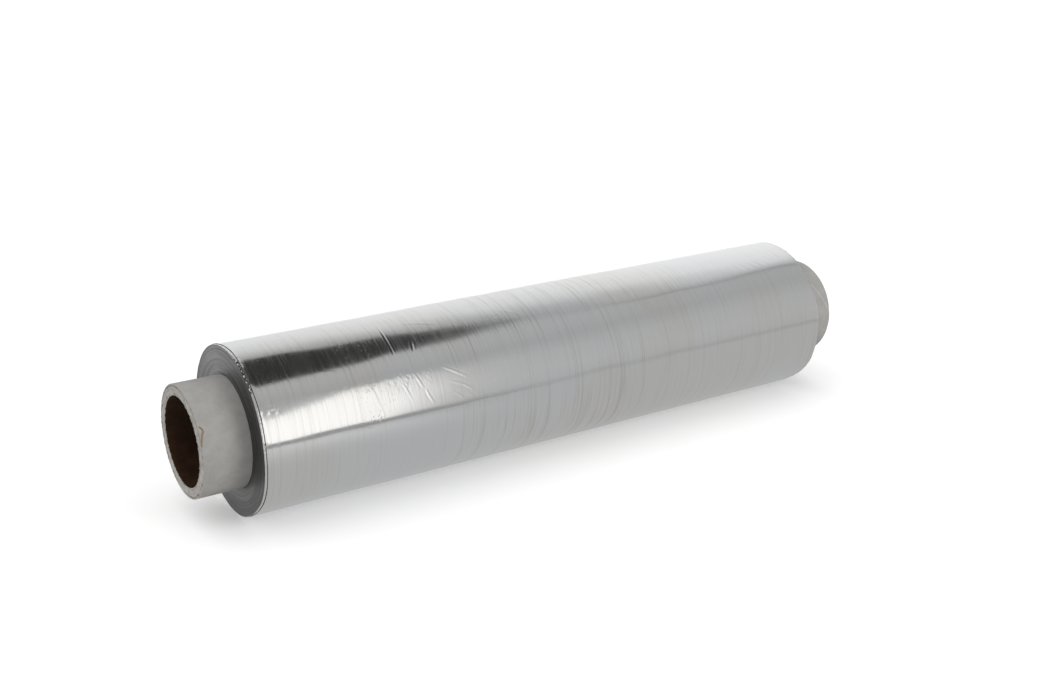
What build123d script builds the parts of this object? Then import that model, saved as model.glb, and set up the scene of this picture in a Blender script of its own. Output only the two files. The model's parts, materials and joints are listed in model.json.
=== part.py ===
"""Roll of aluminium foil wound on a card core, lying on its side.

Millimetres, +Z up. The roll's axis runs along X. The origin is on the surface that the roll
lies on, under the middle of the roll.
"""

import math
import os

from build123d import *

# Foil
foil_width = 300.0
foil_diameter = 74.0
flat_spot_width = 8.0  # the soft winding settles flat where it lies

# Card core
core_bore_diameter = 38.5
core_wall = 4.9
core_stand_out = 20.5  # bare core past the foil, at each end
core_rim_round = 0.4  # softened rims of the cut ends

# The last turns drifted sideways, so they stop short of the foil's ends.
last_turns_depth = 0.25
last_turns_inset_left = 1.0
last_turns_inset_right = 0.4

# How far the edges of the turns lie in from each end of the foil, from the core outwards.
turn_insets_left = [0.45, 0.1, 0.3, 0.0, 0.25, 0.05, 0.35, 0.1]
turn_insets_right = [0.2, 0.4, 0.1, 0.3, 0.0, 0.3, 0.1, 0.2]

# Worked out from the sizes above
foil_radius = foil_diameter / 2
inner_turns_radius = foil_radius - last_turns_depth
core_bore_radius = core_bore_diameter / 2
core_outer_radius = core_bore_radius + core_wall
core_length = foil_width + 2 * core_stand_out
axis_height = math.sqrt(foil_radius**2 - (flat_spot_width / 2) ** 2)

# Sections are drawn from the roll's axis outwards: x along the roll, y away from the axis.
section_plane = Plane(origin=(0, 0, axis_height), x_dir=(1, 0, 0), z_dir=(0, -1, 0))
roll_axis = Axis(origin=(0, 0, axis_height), direction=(1, 0, 0))
resting_plane = Plane.XY


def end_face_points(end_x, inward, insets):
    """Outline of one end of the winding, from the core out to the last whole turn."""
    step = (inner_turns_radius - core_outer_radius) / (len(insets) - 1)
    return [
        (end_x + inward * inset, core_outer_radius + number * step)
        for number, inset in enumerate(insets)
    ]


# Card core: a parallel tube, cut square and longer than the foil is wide.
with BuildPart() as core_tube:
    with BuildSketch(section_plane) as core_section:
        with Locations((0, core_bore_radius + core_wall / 2)):
            Rectangle(core_length, core_wall)
        fillet(core_section.vertices(), radius=min(core_rim_round, core_wall / 3))
    revolve(axis=roll_axis)
core_tube.part.label = "core_tube"

# Foil: all the turns as one winding, tight on the core, with a small flat spot underneath.
left_end = -foil_width / 2
right_end = foil_width / 2
with BuildPart() as foil_roll:
    with BuildSketch(section_plane) as winding_section:
        with BuildLine():
            Polyline(
                *end_face_points(left_end, 1, turn_insets_left),
                (left_end + last_turns_inset_left, inner_turns_radius),
                (left_end + last_turns_inset_left, foil_radius),
                (right_end - last_turns_inset_right, foil_radius),
                (right_end - last_turns_inset_right, inner_turns_radius),
                *reversed(end_face_points(right_end, -1, turn_insets_right)),
                close=True,
            )
        make_face()
    revolve(axis=roll_axis)
    split(bisect_by=resting_plane, keep=Keep.TOP)
foil_roll.part.label = "foil_roll"

os.makedirs("parts", exist_ok=True)
export_step(core_tube.part, "parts/core_tube.step")
export_step(foil_roll.part, "parts/foil_roll.step")
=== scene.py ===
import json
import math

import bpy
import numpy as np
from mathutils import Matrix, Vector


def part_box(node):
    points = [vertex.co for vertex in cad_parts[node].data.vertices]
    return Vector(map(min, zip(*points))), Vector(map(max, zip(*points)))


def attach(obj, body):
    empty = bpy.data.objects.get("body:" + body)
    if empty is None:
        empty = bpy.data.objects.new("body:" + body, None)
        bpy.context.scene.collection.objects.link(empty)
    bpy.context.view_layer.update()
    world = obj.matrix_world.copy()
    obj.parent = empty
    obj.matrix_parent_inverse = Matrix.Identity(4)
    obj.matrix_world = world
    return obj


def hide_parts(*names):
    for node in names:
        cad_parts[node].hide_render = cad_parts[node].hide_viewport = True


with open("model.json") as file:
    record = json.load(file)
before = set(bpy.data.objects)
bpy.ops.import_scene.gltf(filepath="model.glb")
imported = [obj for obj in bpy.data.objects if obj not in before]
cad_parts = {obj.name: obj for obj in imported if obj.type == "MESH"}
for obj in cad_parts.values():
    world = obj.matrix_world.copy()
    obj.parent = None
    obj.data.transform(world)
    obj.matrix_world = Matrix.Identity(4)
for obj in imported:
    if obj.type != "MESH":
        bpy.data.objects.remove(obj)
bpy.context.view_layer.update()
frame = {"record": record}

# ---------------------------------------------------------------------------------------------
# Sizes, all from the frame. Metres; angles round the roll are in degrees from its top, growing
# towards the camera's side, -Y.
# ---------------------------------------------------------------------------------------------

MM = 0.001
foil_low, foil_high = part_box("foil_roll")
core_low, core_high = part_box("core_tube")
core_bore = next(m for m in frame["record"]["mounts"] if m["name"] == "core_bore")

axis_height = core_bore["pos_m"][2]
foil_radius = foil_high.z - axis_height
core_radius = core_high.z - axis_height
bore_radius = core_bore["dims"]["r_mm"] * MM
foil_width = foil_high.x - foil_low.x
card_wall = core_radius - bore_radius
axis_middle = Vector((0, 0, axis_height))

TURN_STEP = 0.22 * MM  # the last turns stand this far above the ones they leave bare at the ends
LEFT_SET_BACK = 1.15 * MM
RIGHT_SET_BACK = 0.45 * MM
TAIL_STEP = 0.09 * MM  # the foil's free edge lies along the roll, low on the front
TAIL_ANGLE = 126.0


# ---------------------------------------------------------------------------------------------
# Mesh helpers
# ---------------------------------------------------------------------------------------------


def stops(start, *stretches):
    """Places from start on: each stretch is (its end, the spacing in it)."""
    places = [start]
    for end, spacing in stretches:
        count = max(1, round((end - places[-1]) / spacing))
        places += list(np.linspace(places[-1], end, count + 1)[1:])
    return np.array(places)


def smooth_step(value, low, high):
    """0 below low, 1 above high, eased in between."""
    share = np.clip((value - low) / (high - low), 0, 1)
    return share * share * (3 - 2 * share)


def waves(rng, around, along, turns, lengths, count):
    """Unevenness of about 1 that closes on itself round the roll: gentle waves added up.

    turns is the range of whole waves in one turn, and lengths the range of wavelengths along the
    roll in metres. around is in radians.
    """
    total = np.zeros(np.broadcast(around, along).shape)
    for _ in range(count):
        whole = rng.integers(turns[0], turns[1] + 1)
        slope = 2 * math.pi / rng.uniform(*lengths) * rng.choice((-1, 1))
        total = total + np.cos(whole * around + slope * along + rng.uniform(0, 2 * math.pi))
    return total / math.sqrt(count)


def add_object(name, data):
    """An object made from a mesh, lamp or camera, put in the scene."""
    made = bpy.data.objects.new(name, data)
    bpy.context.scene.collection.objects.link(made)
    return made


def rim_waves(rng, around, turns, count):
    """Unevenness of about 1 round one end, where the place along the roll stays the same."""
    return waves(rng, around, 0.0, turns, (1, 2), count)


def ring_mesh(name, x, radius, around, materials, ring_material):
    """A closed body round the roll's axis, from arrays of rings by points.

    Each ring is joined to the next, and the last one to the first. ring_material gives each ring's
    material number.
    """
    rings, points = x.shape
    places = np.stack(
        [x, -radius * np.sin(around), axis_height + radius * np.cos(around)], axis=-1
    )
    places[..., 2] = np.maximum(places[..., 2], 0)
    number = np.arange(rings * points).reshape(rings, points)
    after = np.roll(number, -1, axis=0)
    corners = np.stack(
        [number, np.roll(number, -1, axis=1), np.roll(after, -1, axis=1), after], axis=-1
    )
    mesh = bpy.data.meshes.new(name)
    mesh.vertices.add(rings * points)
    mesh.vertices.foreach_set("co", places.ravel())
    mesh.loops.add(rings * points * 4)
    mesh.loops.foreach_set("vertex_index", corners.ravel())
    mesh.polygons.add(rings * points)
    mesh.polygons.foreach_set("loop_start", np.arange(rings * points) * 4)
    for material in materials:
        mesh.materials.append(material)
    mesh.polygons.foreach_set("material_index", np.repeat(ring_material, points))
    mesh.update(calc_edges=True)
    mesh.validate()
    mesh.polygons.foreach_set("use_smooth", np.ones(rings * points, bool))
    mesh.set_sharp_from_angle(angle=math.radians(50))
    return add_object(name, mesh)


def flat_card(name, corners, material):
    """A flat sheet of the studio's."""
    mesh = bpy.data.meshes.new(name)
    mesh.from_pydata(corners, [], [tuple(range(len(corners)))])
    mesh.materials.append(material)
    made = add_object(name, mesh)
    return made


# ---------------------------------------------------------------------------------------------
# Material helpers
# ---------------------------------------------------------------------------------------------


def add_node(tree, kind, values=None, **settings):
    """A new node. values gives its inputs plain values, or other nodes' outputs to join."""
    made = tree.nodes.new(kind)
    for name, value in settings.items():
        setattr(made, name, value)
    for socket, value in (values or {}).items():
        if isinstance(value, bpy.types.NodeSocket):
            tree.links.new(value, made.inputs[socket])
        else:
            made.inputs[socket].default_value = value
    return made


def calculate(tree, operation, first, second=0.0, third=0.0):
    """The result of one sum."""
    return add_node(
        tree, "ShaderNodeMath", {0: first, 1: second, 2: third}, operation=operation
    ).outputs[0]


def remap(tree, value, low, high, to_low=0.0, to_high=1.0, easing="SMOOTHSTEP"):
    """value taken from low..high to to_low..to_high, and held there."""
    values = {"Value": value, "From Min": low, "From Max": high, "To Min": to_low, "To Max": to_high}
    return add_node(tree, "ShaderNodeMapRange", values, interpolation_type=easing).outputs["Result"]


def blend(tree, share, first, second, how="MIX"):
    """A colour between first and second."""
    made = add_node(
        tree, "ShaderNodeMix", {0: share, 6: first, 7: second}, data_type="RGBA", blend_type=how
    )
    return made.outputs[2]


def mix_values(tree, share, first, second):
    """A number between first and second."""
    return add_node(tree, "ShaderNodeMix", {0: share, 2: first, 3: second}, data_type="FLOAT").outputs[0]


def value_ramp(tree, value, points):
    """A number that follows a line through points of (value, result)."""
    ramp = add_node(tree, "ShaderNodeValToRGB", {0: value})
    stops_made = ramp.color_ramp.elements
    while len(stops_made) < len(points):
        stops_made.new(0.5)
    for stop, (place, result) in zip(stops_made, points):
        stop.position = place
        stop.color = (result, result, result, 1)
    return ramp.outputs[0]


def noise(tree, where, scale, detail=2.0, roughness=0.5, **more):
    """A smooth noise value of about 0 to 1."""
    values = {"Vector": where, "Scale": scale, "Detail": detail, "Roughness": roughness}
    return add_node(tree, "ShaderNodeTexNoise", {**values, **more}).outputs[0]


def bump(tree, height, distance, under=None):
    """A normal pushed by height, on top of another normal if one is given."""
    values = {"Height": height, "Distance": distance, "Strength": 1.0}
    if under is not None:
        values["Normal"] = under
    return add_node(tree, "ShaderNodeBump", values).outputs["Normal"]


def grey(level, warmth=0.0):
    """A near-grey colour: warmth above 0 leans to yellow, below 0 to blue."""
    return (level * (1 + warmth), level, level * (1 - 1.6 * warmth), 1)


def empty_material(name):
    """A material with no nodes, and its tree."""
    material = bpy.data.materials.new(name)
    material.use_nodes = True
    material.node_tree.nodes.clear()
    return material, material.node_tree


def show_surface(tree, shader, output="ShaderNodeOutputMaterial"):
    """Makes a shader the one that shows."""
    add_node(tree, output, {"Surface": shader.outputs[0]})


def new_material(name):
    """A material with one Principled shader: the material, its tree and the shader."""
    material, tree = empty_material(name)
    shader = tree.nodes.new("ShaderNodeBsdfPrincipled")
    show_surface(tree, shader)
    return material, tree, shader


def set_shader(tree, shader, **inputs):
    """Fills a shader's inputs: underscores in the names stand for spaces."""
    for name, value in inputs.items():
        socket = shader.inputs[name.replace("_", " ")]
        if isinstance(value, bpy.types.NodeSocket):
            tree.links.new(value, socket)
        else:
            socket.default_value = value


def new_group(name, inputs, outputs):
    """An empty node group with named sockets.

    inputs gives each name its kind and value, and outputs gives each name its kind.
    """
    tree = bpy.data.node_groups.new(name, "ShaderNodeTree")
    for socket_name, (kind, value) in inputs.items():
        socket = tree.interface.new_socket(socket_name, in_out="INPUT", socket_type=kind)
        socket.default_value = value
    for socket_name, kind in outputs.items():
        tree.interface.new_socket(socket_name, in_out="OUTPUT", socket_type=kind)
    return tree, tree.nodes.new("NodeGroupInput"), tree.nodes.new("NodeGroupOutput")


def use_group(tree, group, **values):
    """A group placed in a material: underscores in the names stand for spaces."""
    named = {name.replace("_", " "): value for name, value in values.items()}
    made = tree.nodes.new("ShaderNodeGroup")
    made.node_tree = group
    for name, value in named.items():
        if isinstance(value, bpy.types.NodeSocket):
            tree.links.new(value, made.inputs[name])
        else:
            made.inputs[name].default_value = value
    return made.outputs


# ---------------------------------------------------------------------------------------------
# Shared effects
# ---------------------------------------------------------------------------------------------

FLOAT = "NodeSocketFloat"


def roll_places_group():
    """Where a point is on the roll: its place along it, its distance from the axis, and round it."""
    tree, _, given = new_group(
        "Places on the roll",
        {},
        {"Along": FLOAT, "Radius": FLOAT, "Spoke": "NodeSocketVector"},
    )
    place = add_node(tree, "ShaderNodeTexCoord").outputs["Object"]
    from_axis = add_node(
        tree, "ShaderNodeVectorMath", {0: place, 1: axis_middle}, operation="SUBTRACT"
    ).outputs[0]
    along = add_node(tree, "ShaderNodeSeparateXYZ", {0: from_axis}).outputs["X"]
    across = add_node(
        tree, "ShaderNodeVectorMath", {0: from_axis, 1: (0, 1, 1)}, operation="MULTIPLY"
    ).outputs[0]
    radius = add_node(tree, "ShaderNodeVectorMath", {0: across}, operation="LENGTH").outputs["Value"]
    spoke = add_node(tree, "ShaderNodeVectorMath", {0: across}, operation="NORMALIZE").outputs[0]
    tree.links.new(along, given.inputs["Along"])
    tree.links.new(radius, given.inputs["Radius"])
    tree.links.new(spoke, given.inputs["Spoke"])
    return tree


def drawn_lines_group():
    """Lines that run round the roll, side by side along one measure, such as length or radius.

    Spoke is the direction from the axis, and Drift says how much a line changes on its way round.
    """
    inputs = {
        "Measure": (FLOAT, 0.0),
        "Spoke": ("NodeSocketVector", (0, 0, 1)),
        "Lines per mm": (FLOAT, 1.0),
        "Drift": (FLOAT, 1.0),
    }
    tree, taken, given = new_group("Lines round the roll", inputs, {"Lines": FLOAT, "Fine lines": FLOAT})
    per_metre = calculate(tree, "MULTIPLY", taken.outputs["Lines per mm"], 1 / MM)
    position = calculate(tree, "MULTIPLY", taken.outputs["Measure"], per_metre)
    drifted = add_node(
        tree,
        "ShaderNodeVectorMath",
        {0: taken.outputs["Spoke"], "Scale": taken.outputs["Drift"]},
        operation="SCALE",
    ).outputs[0]
    place = add_node(
        tree,
        "ShaderNodeVectorMath",
        {0: drifted, 1: add_node(tree, "ShaderNodeCombineXYZ", {0: position}).outputs[0]},
        operation="ADD",
    ).outputs[0]
    tree.links.new(noise(tree, place, 1.0, 3.0, 0.65), given.inputs["Lines"])
    tree.links.new(noise(tree, place, 4.0, 3.0, 0.7), given.inputs["Fine lines"])
    return tree


def card_fibres_group():
    """Pressed paper: short fibres, soft mottling and a few darker specks."""
    inputs = {"Fibre scale": (FLOAT, 1.0), "Speck share": (FLOAT, 0.1)}
    outputs = {"Fibres": FLOAT, "Mottling": FLOAT, "Specks": FLOAT}
    tree, taken, given = new_group("Card fibres", inputs, outputs)
    place = add_node(tree, "ShaderNodeTexCoord").outputs["Object"]
    scaled = add_node(
        tree,
        "ShaderNodeVectorMath",
        {0: place, "Scale": taken.outputs["Fibre scale"]},
        operation="SCALE",
    ).outputs[0]
    stretched = add_node(
        tree, "ShaderNodeVectorMath", {0: scaled, 1: (1.0, 0.35, 0.35)}, operation="MULTIPLY"
    ).outputs[0]
    fibres = noise(tree, stretched, 2600.0, 4.0, 0.65, Distortion=0.6)
    mottling = noise(tree, scaled, 190.0, 3.0, 0.55)
    flecks = noise(tree, scaled, 1300.0, 1.0, 0.5)
    allowed = calculate(tree, "MULTIPLY", taken.outputs["Speck share"], 0.3)
    threshold = calculate(tree, "SUBTRACT", 0.86, allowed)
    over = calculate(tree, "SUBTRACT", flecks, threshold)
    specks = remap(tree, over, 0.0, 0.05)
    for name, output in (("Fibres", fibres), ("Mottling", mottling), ("Specks", specks)):
        tree.links.new(output, given.inputs[name])
    return tree


roll_places = roll_places_group()
drawn_lines = drawn_lines_group()
card_fibres = card_fibres_group()


# ---------------------------------------------------------------------------------------------
# Foil
# ---------------------------------------------------------------------------------------------


def bright_foil():
    """The outer face: bright rolled aluminium with lines round the roll and small pinched dimples."""
    material, tree, shader = new_material("bright foil")
    places = use_group(tree, roll_places)
    object_place = add_node(tree, "ShaderNodeTexCoord").outputs["Object"]
    lines = use_group(
        tree,
        drawn_lines,
        Measure=places["Along"],
        Spoke=places["Spoke"],
        Lines_per_mm=0.8,
        Drift=0.45,
    )
    patches = noise(tree, object_place, 15.0, 2.0, 0.5)
    from_scuffs = calculate(tree, "ABSOLUTE", calculate(tree, "ADD", places["Along"], 0.006))
    scuffed = remap(tree, from_scuffs, 0.030, 0.075, 1.0, 0.35)
    scuffed = calculate(tree, "MULTIPLY", scuffed, remap(tree, patches, 0.35, 0.6, 0.5, 1.0))
    dark_lines = remap(tree, lines["Lines"], 0.50, 0.74)
    finer_lines = remap(tree, lines["Fine lines"], 0.46, 0.70)
    line_share = calculate(tree, "ADD", dark_lines, calculate(tree, "MULTIPLY", finer_lines, 0.55))
    line_share = calculate(tree, "MULTIPLY", line_share, scuffed)
    cool, warm, dull = (0.855, 0.865, 0.875, 1), (0.85, 0.845, 0.825, 1), (0.70, 0.695, 0.675, 1)
    colour = blend(tree, remap(tree, patches, 0.42, 0.66), cool, warm)
    colour = blend(tree, line_share, colour, dull)

    roughness = remap(tree, lines["Fine lines"], 0.3, 0.7, 0.09, 0.15)
    roughness = calculate(tree, "ADD", roughness, calculate(tree, "MULTIPLY", line_share, 0.08))

    finer_height = calculate(tree, "MULTIPLY", lines["Fine lines"], 0.3)
    line_height = calculate(tree, "ADD", lines["Lines"], finer_height)
    normal = bump(tree, line_height, 0.009 * MM)
    pimples = add_node(
        tree,
        "ShaderNodeTexVoronoi",
        {"Vector": object_place, "Scale": 620.0, "Smoothness": 0.4},
        feature="SMOOTH_F1",
    ).outputs["Distance"]
    raised = remap(tree, pimples, 0.05, 0.32, 1.0, 0.0)
    crowded = remap(tree, noise(tree, object_place, 45.0, 2.0, 0.5), 0.50, 0.70)
    normal = bump(tree, calculate(tree, "MULTIPLY", raised, crowded), 0.022 * MM, under=normal)
    set_shader(
        tree,
        shader,
        Base_Color=colour,
        Metallic=1.0,
        Roughness=roughness,
        Anisotropic=0.45,
        Anisotropic_Rotation=0.25,
        Tangent=add_node(tree, "ShaderNodeTangent", direction_type="RADIAL", axis="X").outputs[0],
        Normal=normal,
    )
    return material


def turn_edges():
    """The ends of the winding: the cut edges of all the turns, finely ringed, and dark grey: partly their
    own dull tone, partly painted shade.
    """
    material, tree, shader = new_material("foil turn edges")
    places = use_group(tree, roll_places)
    rings = use_group(
        tree,
        drawn_lines,
        Measure=places["Radius"],
        Spoke=places["Spoke"],
        Lines_per_mm=1.3,
        Drift=0.8,
    )
    shade = remap(tree, rings["Lines"], 0.35, 0.7)
    # Partly the cut edges' own dull tone and partly painted shade: both greys are set darker to stand in
    # for the dark surroundings that the end faces reflect.
    colour = blend(tree, shade, grey(0.135), grey(0.055))
    height = calculate(tree, "ADD", rings["Lines"], calculate(tree, "MULTIPLY", rings["Fine lines"], 0.5))
    set_shader(
        tree,
        shader,
        Base_Color=colour,
        Metallic=1.0,
        Roughness=0.40,
        Anisotropic=0.8,
        Anisotropic_Rotation=0.25,
        Tangent=add_node(tree, "ShaderNodeTangent", direction_type="RADIAL", axis="X").outputs[0],
        Normal=bump(tree, height, 0.12 * MM),
    )
    return material


# Creases pressed into the outer turns: (along in mm from the left end, angle) at the start, middle and end,
# then how high and how wide each stands, in mm.
CREASES = [
    ((67.0, -3), (65.6, 20), (65.4, 43), 0.065, 0.34),
    ((75.8, 33), (75.2, 37), (74.4, 42), 0.040, 0.36),
    ((74.6, 15.0), (83.4, 17.5), (92.0, 22.5), 0.030, 0.55),
    ((123.5, 19.5), (128.5, 24), (134.0, 31), 0.030, 0.50),
    ((50.0, 57.0), (51.4, 66), (53.6, 79.0), 0.050, 0.34),
    ((64.4, 60.5), (66.0, 66), (67.6, 74.0), 0.022, 0.34),
    ((70.4, 53.0), (71.6, 58), (73.6, 66), 0.055, 0.36),
    ((74.8, 68), (75.6, 72), (77.4, 77.5), 0.040, 0.36),
    ((84.4, 55.0), (89.8, 60.0), (96.0, 66), 0.050, 0.36),
    ((86.6, 66.0), (91.5, 69.0), (96.8, 73), 0.032, 0.34),
    ((92.6, 70.0), (95.2, 72.5), (97.6, 75), 0.034, 0.34),
    ((87.5, 74.5), (90.0, 76.3), (92.0, 78.6), 0.032, 0.34),
    ((93.6, 76.0), (95.6, 77.6), (97.6, 80.4), 0.034, 0.34),
    ((31.5, 41.5), (36.0, 44.0), (41.0, 45.5), 0.016, 0.45),
]


def crease_height(along, angle):
    """How far the creases lift each point of the outer face, in metres."""
    lift = np.zeros(along.shape)
    arc = math.radians(1) * foil_radius / MM  # mm round the roll in one degree
    for start, middle, end, height, width in CREASES:
        share = np.linspace(0, 1, 60)[:, None]
        start, middle, end = (np.array(point, float) for point in (start, middle, end))
        control = 2 * middle - (start + end) / 2
        path = (1 - share) ** 2 * start + 2 * share * (1 - share) * control + share**2 * end
        reach = 5 * width
        near = (
            (along / MM > path[:, 0].min() - reach)
            & (along / MM < path[:, 0].max() + reach)
            & (angle > path[:, 1].min() - reach / arc)
            & (angle < path[:, 1].max() + reach / arc)
        )
        away = np.hypot(
            along[near][:, None] / MM - path[:, 0], (angle[near][:, None] - path[:, 1]) * arc
        )
        nearest = away.argmin(axis=1)
        fade = np.sin(math.pi * np.clip(share[nearest, 0], 0.02, 0.98)) ** 0.6
        across = away.min(axis=1) / width
        lift[near] += height * MM * fade * (np.exp(-across) - 0.35 * np.exp(-((across - 2.2) ** 2)))
    return lift


# Patches of pinches: how many, and the ranges of place along in mm, angle, size in mm and height in mm
PINCH_PATCHES = [
    (60, (2.2, 9), (51, 62), (0.35, 0.7), (0.02, 0.05)),
    (70, (58, 78), (50, 66), (0.3, 0.45), (0.006, 0.02)),
]


def pinch_height(along, angle):
    """Small pinches and pimples in the foil, on the camera's side near the left end, in metres."""
    rng = np.random.default_rng(77)
    lift = np.zeros(along.shape)
    arc = math.radians(1) * foil_radius / MM
    pinches = []
    for _ in range(190):
        s = rng.uniform(3, 80)
        centre = 54.5 - 3.0 * smooth_step(s, 20, 50) + 2.0 * smooth_step(s, 55, 80)
        pinches.append((s, rng.normal(centre, 2.6), rng.uniform(0.30, 0.48), rng.uniform(0.010, 0.026)))
    for count, *ranges in PINCH_PATCHES:
        for _ in range(count):
            pinches.append([rng.uniform(*limits) for limits in ranges])
    for s, at, size, height in pinches:
        near = (np.abs(along / MM - s) < 3 * size) & (np.abs(angle - at) * arc < 3 * size)
        away = np.hypot(along[near] / MM - s, (angle[near] - at) * arc) / size
        lift[near] += rng.choice((-1, 1, 1)) * height * MM * np.exp(-(away**2))
    return lift


# Ripples near the right end, just in front of the top: height and pitch in mm, slant in mm for each
# degree, the angle that the slant is counted from, the middle and reach along in mm, and the middle
# and reach round in degrees
RIPPLES = [
    (0.020, 4.6, 0.42, 25, (273, 9), (26, 5)),
    (0.015, 3.4, 0.30, 28, (289, 4), (29, 3)),
]


def outer_face_change(along, angle):
    """How far the outer turns stand off a true cylinder, in metres."""
    around = np.radians(angle)
    rng = np.random.default_rng(31)
    change = 0.035 * MM * waves(rng, around, along, (1, 9), (0.05, 0.30), 10)
    change += 0.012 * MM * waves(rng, around, along, (8, 26), (0.02, 0.08), 10)
    # The winding has sagged a little, low on the front, and bulges above that.
    change -= 0.75 * MM * np.exp(-(((angle - 146) / 15) ** 2))
    change += 0.20 * MM * np.exp(-(((angle - 117) / 12) ** 2))
    for height, pitch, slant, from_angle, (s, reach), (at, spread) in RIPPLES:
        ripple = np.sin(2 * math.pi * (along / MM - slant * (angle - from_angle)) / pitch)
        change += height * MM * ripple * np.exp(
            -(((along / MM - s) / reach) ** 2) - (((angle - at) / spread) ** 2)
        )
    return change + crease_height(along, angle) + pinch_height(along, angle)


def build_foil():
    """The winding: its outer face with the last turns set back at each end, and its ringed end faces."""
    angle = stops(-8, (86, 0.6), (128, 1.0), (349, 3.4))  # finest where the creases are
    around = np.radians(angle)

    strip = np.array([0, 0.16, 0.32, 0.48, 0.64, 0.82, 0.98])  # shares of the bare strip at each end
    groove = 0.10 * MM  # how much lower the strip's first and last rings lie
    middle = stops(
        2.6, (30, 0.75), (62, 0.62), (100, 0.36), (140, 1.2), (254, 4.0), (297.2, 1.0)
    ) * MM
    ring_count = 18
    face_share = np.linspace(0, 1, ring_count, endpoint=False)

    def end_rings(set_back, seed):
        """One end, from the core outwards and then in along the roll.

        Gives each ring's distances from that end, and its radii.
        """
        own = np.random.default_rng(seed)
        edge_x, edge_radius = [], []
        drift = np.cumsum(own.normal(0, 0.05, ring_count))
        drift -= drift.min()
        for share, level in zip(face_share, drift):
            lean = own.uniform(0, 0.05) * np.cos(around + own.uniform(0, 2 * math.pi))
            inset = 0.05 + level * 0.9 + own.uniform(-0.06, 0.06) + lean
            edge_x.append(np.maximum(inset, 0) * MM)
            edge_radius.append(
                core_radius + share * (foil_radius - TURN_STEP - core_radius) + np.zeros(len(around))
            )
        crinkle = rim_waves(own, around, (90, 210), 14)
        wander = rim_waves(own, around, (2, 11), 6)
        step_at = set_back * (1 + 0.16 * wander + 0.04 * crinkle)
        for share in strip:
            wrinkle = rim_waves(own, around, (60, 200), 12)
            edge_x.append(step_at * share + 0.03 * MM * (1 - share) * crinkle)
            edge_radius.append(
                foil_radius - TURN_STEP + 0.07 * MM * wrinkle - groove * (share in strip[[0, -1]])
            )
        flare = 0.10 * MM * np.abs(crinkle)
        for beyond, lift in ((0.02, -0.2), (0.05, 1.0), (0.25, 0.8), (0.55, 0.45), (1.0, 0.15)):
            edge_x.append(step_at + beyond * MM)
            edge_radius.append(foil_radius + lift * flare)
        return np.array(edge_x), np.array(edge_radius)

    left_x, left_radius = end_rings(LEFT_SET_BACK, 5)
    right_x, right_radius = end_rings(RIGHT_SET_BACK, 6)
    middle_x = np.repeat(middle[:, None], len(around), axis=1)
    distance = np.concatenate([left_x, middle_x, foil_width - right_x[::-1]])
    radius = np.concatenate(
        [left_radius, np.full(middle_x.shape, foil_radius), right_radius[::-1]]
    )
    outer = np.zeros(len(distance), bool)
    outer[ring_count : len(distance) - ring_count] = True
    spread = np.broadcast_to(angle, distance.shape)
    radius[outer] += outer_face_change(distance[outer], spread[outer])

    # The free edge of the foil: a small step down, most plain towards the right end
    past_tail = smooth_step(spread, TAIL_ANGLE, TAIL_ANGLE + 1.6)
    past_tail = past_tail * smooth_step(-spread, -200, -TAIL_ANGLE)
    radius[outer] -= TAIL_STEP * past_tail[outer] * smooth_step(distance[outer], 0.12, 0.26)

    # The bright foil is material 0. The cut edges are 1, and so is the foot of the step, where that dark
    # colour is painted shade.
    ring_material = np.where(outer, 0, 1)
    ring_material[ring_count - 1] = 1
    ring_material[len(distance) - ring_count - 1] = 1
    # Painted shade: the two rings at the foot of each step take the dark cut-edge material.
    step_ring = ring_count + len(strip) - 2
    ring_material[step_ring : step_ring + 2] = 1
    ring_material[-step_ring - 3 : -step_ring - 1] = 1
    made = ring_mesh(
        "foil_winding",
        foil_low.x + distance,
        radius,
        around,
        [bright_foil(), turn_edges()],
        ring_material,
    )
    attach(made, "root")
    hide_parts("foil_roll")
    return made


# ---------------------------------------------------------------------------------------------
# Card core
# ---------------------------------------------------------------------------------------------

SEAM_ORIGIN = 163.1 * MM  # a place on the outer ply's seam, on the right stand-out
SEAM_START = 46.8  # the seam's angle there
SEAM_TURN = 4.92 / MM  # degrees that the seam turns for each metre along the core


def seam_distance(x, angle):
    """Distance round the core from the outer ply's spiral seam, in metres, negative before it."""
    at = SEAM_START + SEAM_TURN * (x - SEAM_ORIGIN)
    return np.radians((angle - at + 180) % 360 - 180) * core_radius


def card_outside():
    """The outer ply: smooth grey card, with its spiral seam and a small tear at the left end."""
    material, tree, shader = new_material("grey card")
    fibres = use_group(tree, card_fibres, Fibre_scale=1.0, Speck_share=0.25)
    colour = blend(tree, remap(tree, fibres["Mottling"], 0.3, 0.7), grey(0.265, 0.03), grey(0.305, 0.025))
    colour = blend(tree, remap(tree, fibres["Fibres"], 0.3, 0.75, 0.0, 0.35), colour, grey(0.36, 0.025))
    colour = blend(tree, calculate(tree, "MULTIPLY", fibres["Specks"], 0.5), colour, grey(0.14, 0.15))
    seam = add_node(tree, "ShaderNodeAttribute", attribute_name="seam").outputs["Fac"]
    colour = blend(tree, seam, colour, grey(0.52, 0.02))
    torn = add_node(tree, "ShaderNodeAttribute", attribute_name="torn").outputs["Fac"]
    colour = blend(tree, torn, colour, (0.20, 0.13, 0.06, 1))
    set_shader(
        tree,
        shader,
        Base_Color=colour,
        Roughness=0.78,
        Specular_IOR_Level=0.3,
        Normal=bump(tree, fibres["Fibres"], 0.03 * MM),
    )
    return material


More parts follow.
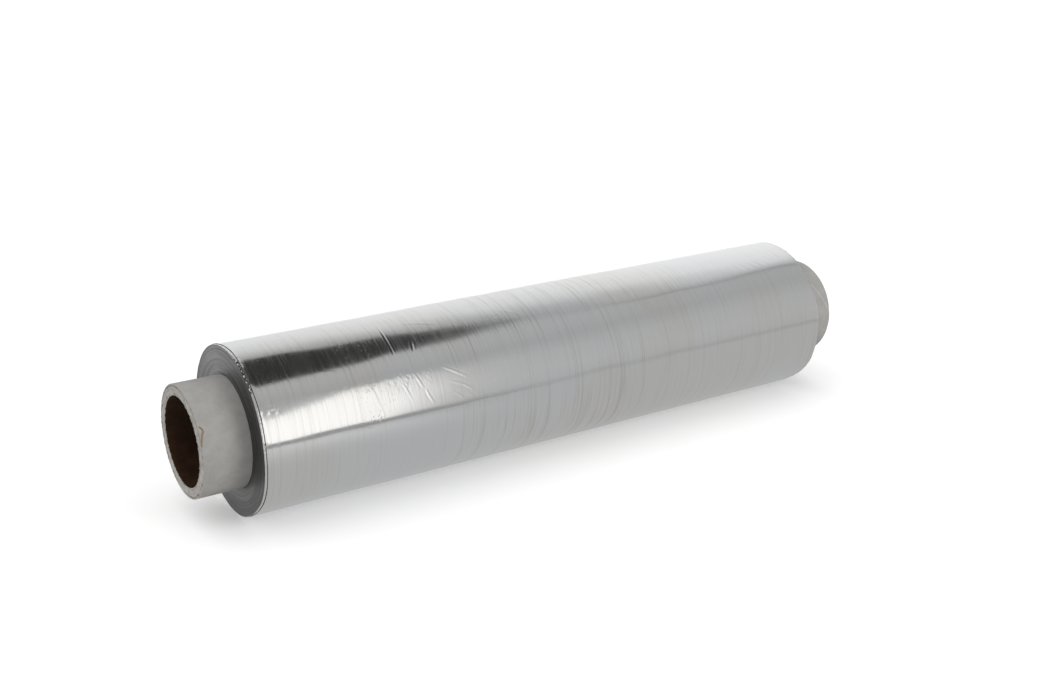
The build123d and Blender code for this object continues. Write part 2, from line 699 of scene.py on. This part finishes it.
def card_cut():
    """The sawn ends: layers of grey card with brown glued plies showing between them."""
    material, tree, shader = new_material("cut card")
    fibres = use_group(tree, card_fibres, Fibre_scale=1.5, Speck_share=0.3)
    colour = blend(tree, remap(tree, fibres["Mottling"], 0.3, 0.7), grey(0.34, 0.03), grey(0.46, 0.02))
    colour = blend(tree, remap(tree, fibres["Fibres"], 0.3, 0.75, 0.0, 0.5), colour, grey(0.22, 0.02))
    ply = add_node(tree, "ShaderNodeAttribute", attribute_name="brown_ply").outputs["Fac"]
    colour = blend(tree, ply, colour, (0.17, 0.12, 0.055, 1))
    set_shader(
        tree,
        shader,
        Base_Color=colour,
        Roughness=0.85,
        Specular_IOR_Level=0.2,
        Normal=bump(tree, fibres["Fibres"], 0.09 * MM),
    )
    return material


def card_bore():
    """The inner ply: brown card, its colour set far darker than the card's own as painted shade inside the
    bore.
    """
    material, tree, shader = new_material("brown card")
    fibres = use_group(tree, card_fibres, Fibre_scale=1.0, Speck_share=0.2)
    # Painted shade: both browns are much darker than the kraft card itself, standing in for the shade deep
    # in the bore.
    dark, light = (0.026, 0.011, 0.0045, 1), (0.045, 0.019, 0.007, 1)
    colour = blend(tree, remap(tree, fibres["Mottling"], 0.3, 0.7), dark, light)
    set_shader(
        tree,
        shader,
        Base_Color=colour,
        Roughness=0.8,
        Specular_IOR_Level=0.2,
        Normal=bump(tree, fibres["Fibres"], 0.04 * MM),
    )
    return material


# The tear in the outer ply by the left cut: (distance in mm from the cut, angle) along it
TEAR = [(0.9, 57.0), (1.7, 59.5), (1.9, 62.0), (1.3, 64.0), (0.9, 67.0), (0.3, 72.0), (0.0, 75.5)]


def near_path(x, angle, path, width):
    """1 on a path of (mm from the left cut, angle) and 0 beyond width, in mm."""
    points = np.array(path, float)
    fine = np.concatenate(
        [np.linspace(a, b, 12) for a, b in zip(points[:-1], points[1:])]
    )
    arc = math.radians(1) * core_radius / MM
    away = np.full(x.shape, np.inf)
    for place, at in fine:
        away = np.minimum(
            away, np.hypot((x - core_low.x) / MM - place, (angle - at) * arc)
        )
    return 1 - smooth_step(away, 0.35 * width, width)


def build_core():
    """The card core: its outer face, frayed cut ends with their plies, and the bore."""
    angle = np.arange(-90, 270, 1.0)
    around = np.radians(angle)
    length = core_high.x - core_low.x
    stand_out = foil_low.x - core_low.x
    outer_x = stops(0.0, (3 * MM, 0.35 * MM), (stand_out + 1 * MM, 0.6 * MM), (length / 2, 50 * MM))
    outer_x = np.concatenate([outer_x, length - outer_x[-2::-1]])
    inner_x = stops(length, (length - 30 * MM, -1.2 * MM), (30 * MM, -15 * MM), (0.0, -1.2 * MM))
    cut_rings = 18
    cut_share = np.linspace(0, 1, cut_rings + 2)[1:-1]

    def cut_face(seed):
        """One cut end, from its outer rim to the bore.

        Gives how far each point lies in, and where brown plies show.
        """
        own = np.random.default_rng(seed)
        lie_in, brown = [], []
        lines = []
        for share, strength, width in ((0.20, 1.0, 0.055), (0.50, 0.35, 0.03), (0.86, 0.8, 0.05)):
            place = share + 0.035 * rim_waves(own, around, (2, 9), 5)
            place = place + 0.022 * rim_waves(own, around, (15, 60), 8)
            thick = width * (1 + 0.55 * rim_waves(own, around, (5, 50), 8))
            shown = strength * smooth_step(rim_waves(own, around, (2, 14), 6), -1.6, 0.1)
            lines.append((place, np.maximum(thick, 0.02), shown))
        for share in cut_share:
            mask = np.zeros(len(around))
            for place, thick, shown in lines:
                mask = np.maximum(mask, shown * np.exp(-(((share - place) / thick) ** 2)))
            rough = 0.10 * rim_waves(own, around, (10, 90), 10)
            lie_in.append((0.12 + rough + 0.22 * mask) * MM)
            brown.append(mask)
        return np.array(lie_in), np.array(brown)

    left_in, left_brown = cut_face(21)
    right_in, right_brown = cut_face(22)
    rng = np.random.default_rng(23)
    fray = rim_waves(rng, around, (30, 120), 14)

    outer = np.repeat(outer_x[:, None], len(around), axis=1)
    inner = np.repeat(inner_x[:, None], len(around), axis=1)
    outer[0] += 0.05 * MM * fray + 0.1 * MM
    outer[-1] -= 0.05 * MM * np.roll(fray, 77) + 0.1 * MM
    inner[-1] += (0.10 * fray + 0.15) * MM
    inner[0] -= (0.10 * np.roll(fray, 51) + 0.15) * MM
    outer_radius = np.full(outer.shape, core_radius)
    inner_radius = np.full(inner.shape, bore_radius)
    outer_radius[[0, -1]] -= 0.18 * MM
    inner_radius[[0, -1]] += 0.10 * MM * (1 + 0.6 * fray)

    from_seam = seam_distance(core_low.x + outer, angle)
    outer_radius -= 0.10 * MM * np.exp(-((from_seam / (0.45 * MM)) ** 2))
    outer_radius += 0.08 * MM * smooth_step(from_seam, 0, 0.4 * MM) * smooth_step(-from_seam, -9 * MM, 0)
    tear = near_path(core_low.x + outer, angle, TEAR, 0.55)
    outer_radius -= 0.12 * MM * tear

    share = np.repeat(cut_share[:, None], len(around), axis=1)
    cut_radius = core_radius - share * card_wall
    distance = np.concatenate([outer, length - right_in, inner, left_in[::-1]])
    radius = np.concatenate([outer_radius, cut_radius, inner_radius, cut_radius[::-1]])
    counts = (len(outer_x), cut_rings, len(inner_x), cut_rings)
    # Grey card outside is material 0, the cut ends 1 and the brown bore 2.
    ring_material = np.repeat((0, 1, 2, 1), counts)
    ring_material[counts[0] - 1] = 1
    ring_material[sum(counts[:3]) - 1] = 1

    made = ring_mesh(
        "card_core",
        core_low.x + distance,
        radius,
        around,
        [card_outside(), card_cut(), card_bore()],
        ring_material,
    )
    masks = {name: np.zeros(distance.shape) for name in ("seam", "torn", "brown_ply")}
    masks["seam"][: counts[0]] = np.exp(-(((from_seam - 0.15 * MM) / (0.28 * MM)) ** 2))
    masks["torn"][: counts[0]] = tear
    masks["brown_ply"][counts[0] : counts[0] + cut_rings] = right_brown
    masks["brown_ply"][sum(counts[:3]) :] = left_brown[::-1]
    for name, mask in masks.items():
        layer = made.data.attributes.new(name, "FLOAT", "POINT")
        layer.data.foreach_set("value", mask.astype(np.float32).ravel())
    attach(made, "root")
    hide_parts("core_tube")
    return made


# ---------------------------------------------------------------------------------------------
# Studio
# ---------------------------------------------------------------------------------------------


TABLE_REACH = 3.0
SOFTBOX_PLACE = -0.56  # the softbox's face stands this far along Y
ROOM_TONE = 0.455  # the grey that the foil shows where nothing special stands


def glowing_card_material(name, tint=(1, 1, 1, 1)):
    """A glow: its material and tree, the place on the card, and what to call with the strength."""
    material, tree = empty_material(name)
    where = add_node(tree, "ShaderNodeTexCoord").outputs["Object"]
    place = add_node(tree, "ShaderNodeSeparateXYZ", {0: where}).outputs

    def finish(strength):
        show_surface(tree, add_node(tree, "ShaderNodeEmission", {"Color": tint, "Strength": strength}))

    return material, tree, place, finish


def seen_as_background(tree):
    """1 for rays that see the background: from the camera, or through a reflection or clear stuff."""
    path = add_node(tree, "ShaderNodeLightPath").outputs
    seen = calculate(tree, "MAXIMUM", path["Is Camera Ray"], path["Is Glossy Ray"])
    return calculate(tree, "MAXIMUM", seen, path["Is Transmission Ray"])


def build_floor():
    """A pale table top, lifted to white where it is lit and keeping the roll's shadow."""
    material, tree = empty_material("pale table")
    paper = add_node(tree, "ShaderNodeBsdfDiffuse", {"Color": grey(0.80)})
    lift = calculate(tree, "MULTIPLY", seen_as_background(tree), 0.23)
    glow = add_node(tree, "ShaderNodeEmission", {"Color": grey(1.0), "Strength": lift})
    show_surface(tree, add_node(tree, "ShaderNodeAddShader", {0: paper.outputs[0], 1: glow.outputs[0]}))
    corners = [(x * TABLE_REACH, y * TABLE_REACH, 0) for x, y in ((-1, -1), (1, -1), (1, 1), (-1, 1))]
    flat_card("table", corners, material)


def only_in_reflections(card):
    """A studio card that shows in the foil and nowhere else."""
    card.visible_camera = False
    card.visible_diffuse = False
    card.visible_transmission = False
    card.visible_shadow = False


def build_grey_card():
    """A grey card on the table in front of the roll, for the tone of the foil's lower front.

    It is lighter at the softbox's foot, and has a darker gap across it in front of the softbox.
    """
    material, tree, place, finish = glowing_card_material("grey card glow")
    foot = remap(tree, place["X"], 0.04, -0.06)
    foot = calculate(tree, "MULTIPLY", foot, remap(tree, place["Y"], -0.06, -0.20))
    card = calculate(tree, "ADD", calculate(tree, "MULTIPLY", foot, 0.16), ROOM_TONE)
    gap = remap(tree, place["X"], 0.08, 0.17, 0.29, 0.405)
    in_gap = calculate(
        tree,
        "SUBTRACT",
        remap(tree, place["Y"], -0.262, -0.278),
        remap(tree, place["Y"], -0.60, -0.68),
    )
    finish(mix_values(tree, in_gap, card, gap))
    side = TABLE_REACH - 0.01
    near, far = -0.004, -side
    height = 0.2 * MM
    corners = [(-side, far, height), (side, far, height), (side, near, height), (-side, near, height)]
    only_in_reflections(flat_card("grey_card", corners, material))


def build_softbox_face():
    """The front of the softbox as the foil shows it: bright, tilted, and fading towards its right edge."""
    material, tree, place, finish = glowing_card_material("softbox glow", (1.0, 0.985, 0.96, 1))
    leaning = calculate(tree, "MULTIPLY", place["Z"], 0.17)
    across = calculate(tree, "SUBTRACT", place["X"], leaning)
    finish(remap(tree, across, 0.115, 0.215, 1.16, 0.48))
    outline = [(-0.05, 0.004), (0.23, 0.004), (0.30, 0.46), (0.255, 0.60), (-0.05, 0.143)]
    corners = [(x, SOFTBOX_PLACE, z) for x, z in outline]
    only_in_reflections(flat_card("softbox_face", corners, material))


# By height, as the sine of the elevation: how bright the wall stays, how bright the room is, and where the
# corner between them lies, on a scale from in front to behind
WALL_FADE = [
    (0.0, 1.0),
    (0.30, 1.0),
    (0.47, 0.94),
    (0.59, 0.87),
    (0.67, 0.80),
    (0.70, 0.74),
    (0.755, 0.63),
    (0.79, 0.53),
    (0.81, 0.47),
    (0.83, 0.44),
]
ROOM_LEVELS = [(0.0, 0.46), (0.2, 0.475), (0.5, ROOM_TONE), (0.69, 0.395), (0.80, 0.43), (0.87, 0.45)]
CORNER_BEND = [
    (0.70, 0.42),
    (0.73, 0.40),
    (0.75, 0.38),
    (0.768, 0.34),
    (0.785, 0.295),
    (0.802, 0.28),
    (0.822, 0.315),
    (0.84, 0.37),
    (0.85, 0.43),
]


def build_world():
    """White where it is seen, plain light on the object, and a studio in the foil.

    The studio has a bright wall behind that fades upwards, a grey room in front, a thin dark line
    where the two meet, and a dark ceiling.
    """
    world = bpy.data.worlds.new("studio")
    bpy.context.scene.world = world
    world.use_nodes = True
    tree = world.node_tree
    tree.nodes.clear()
    direction = add_node(tree, "ShaderNodeTexCoord").outputs["Generated"]
    parts = add_node(tree, "ShaderNodeSeparateXYZ", {0: direction}).outputs
    up = parts["Z"]
    up_squared = calculate(tree, "POWER", up, 2.0)
    level = calculate(tree, "SQRT", calculate(tree, "SUBTRACT", 1.0, up_squared))
    behind = calculate(tree, "DIVIDE", parts["Y"], calculate(tree, "MAXIMUM", level, 0.001))

    fade = value_ramp(tree, up, WALL_FADE)
    wall = calculate(tree, "MULTIPLY", fade, remap(tree, behind, 0.96, 0.55, 0.80, 0.99, "LINEAR"))
    room = value_ramp(tree, up, ROOM_LEVELS)
    corner = value_ramp(tree, up, CORNER_BEND)
    corner = calculate(tree, "SUBTRACT", calculate(tree, "MULTIPLY", corner, 1.66), 0.565)
    past_corner = calculate(tree, "SUBTRACT", behind, corner)
    surround = mix_values(tree, remap(tree, past_corner, 0.0, 0.19, easing="LINEAR"), room, wall)
    line = calculate(tree, "ABSOLUTE", past_corner)
    surround = mix_values(tree, remap(tree, line, 0.0, 0.06, 0.75, 0.0), surround, 0.26)
    ceiling_edge = remap(tree, behind, 0.77, -0.57, 0.840, 0.888, "LINEAR")
    over = calculate(tree, "SUBTRACT", up, ceiling_edge)
    in_foil = mix_values(tree, remap(tree, over, -0.008, 0.012), surround, 0.025)

    on_object = calculate(tree, "ADD", calculate(tree, "MULTIPLY", up, 0.90), 0.42)
    sideways = calculate(tree, "MULTIPLY", parts["X"], -0.40)
    on_object = calculate(tree, "ADD", on_object, sideways)
    on_object = calculate(tree, "ADD", on_object, calculate(tree, "MULTIPLY", parts["Y"], 0.20))
    on_object = calculate(tree, "MAXIMUM", on_object, 0.05)

    path = add_node(tree, "ShaderNodeLightPath").outputs
    strength = mix_values(tree, path["Is Glossy Ray"], on_object, in_foil)
    clear = calculate(tree, "MAXIMUM", path["Is Camera Ray"], path["Is Transmission Ray"])
    strength = mix_values(tree, clear, strength, 1.0)
    background = add_node(tree, "ShaderNodeBackground", {"Color": grey(1.0), "Strength": strength})
    show_surface(tree, background, "ShaderNodeOutputWorld")


def aim(thing, place, target):
    """Puts a lamp or camera at place, looking at target."""
    thing.location = place
    thing.rotation_mode = "QUATERNION"
    thing.rotation_quaternion = (target - place).to_track_quat("-Z", "Y")


def bearing(azimuth, elevation):
    """The direction that far round from -Y (towards +X) and above the table, in degrees."""
    turn, lift = math.radians(azimuth), math.radians(elevation)
    return Vector(
        (math.sin(turn) * math.cos(lift), -math.cos(turn) * math.cos(lift), math.sin(lift))
    )


def build_softbox():
    """The softbox in front, to the right of the camera. Its light falls on the card and the table."""
    width, height, share_of_light = 0.26, 0.42, 0.42
    target = Vector((core_low.x + 0.03, 0, axis_height))
    distance = 0.65
    lamp = bpy.data.lights.new("softbox", "AREA")
    lamp.shape = "RECTANGLE"
    lamp.size, lamp.size_y = width, height
    # A lamp of this many watts shows a facing white surface at that share of full white.
    lamp.energy = share_of_light * (math.pi * distance) ** 2
    made = add_object("softbox", lamp)
    aim(made, target + bearing(27.0, 20.0) * distance, target)
    made.visible_camera = False
    made.visible_glossy = False


def build_camera():
    """A camera on the near left, looking down the roll."""
    camera = bpy.data.cameras.new("camera")
    camera.lens = 47.9
    camera.sensor_width = 36.0
    made = add_object("camera", camera)
    target = axis_middle + Vector((-0.0049, -0.0027, 0.0089))
    aim(made, target + bearing(-33.28, 19.12) * 0.65, target)
    bpy.context.scene.camera = made


build_foil()
build_core()
build_floor()
build_grey_card()
build_world()
build_softbox_face()
build_softbox()
build_camera()
bpy.context.scene.view_settings.view_transform = "Standard"
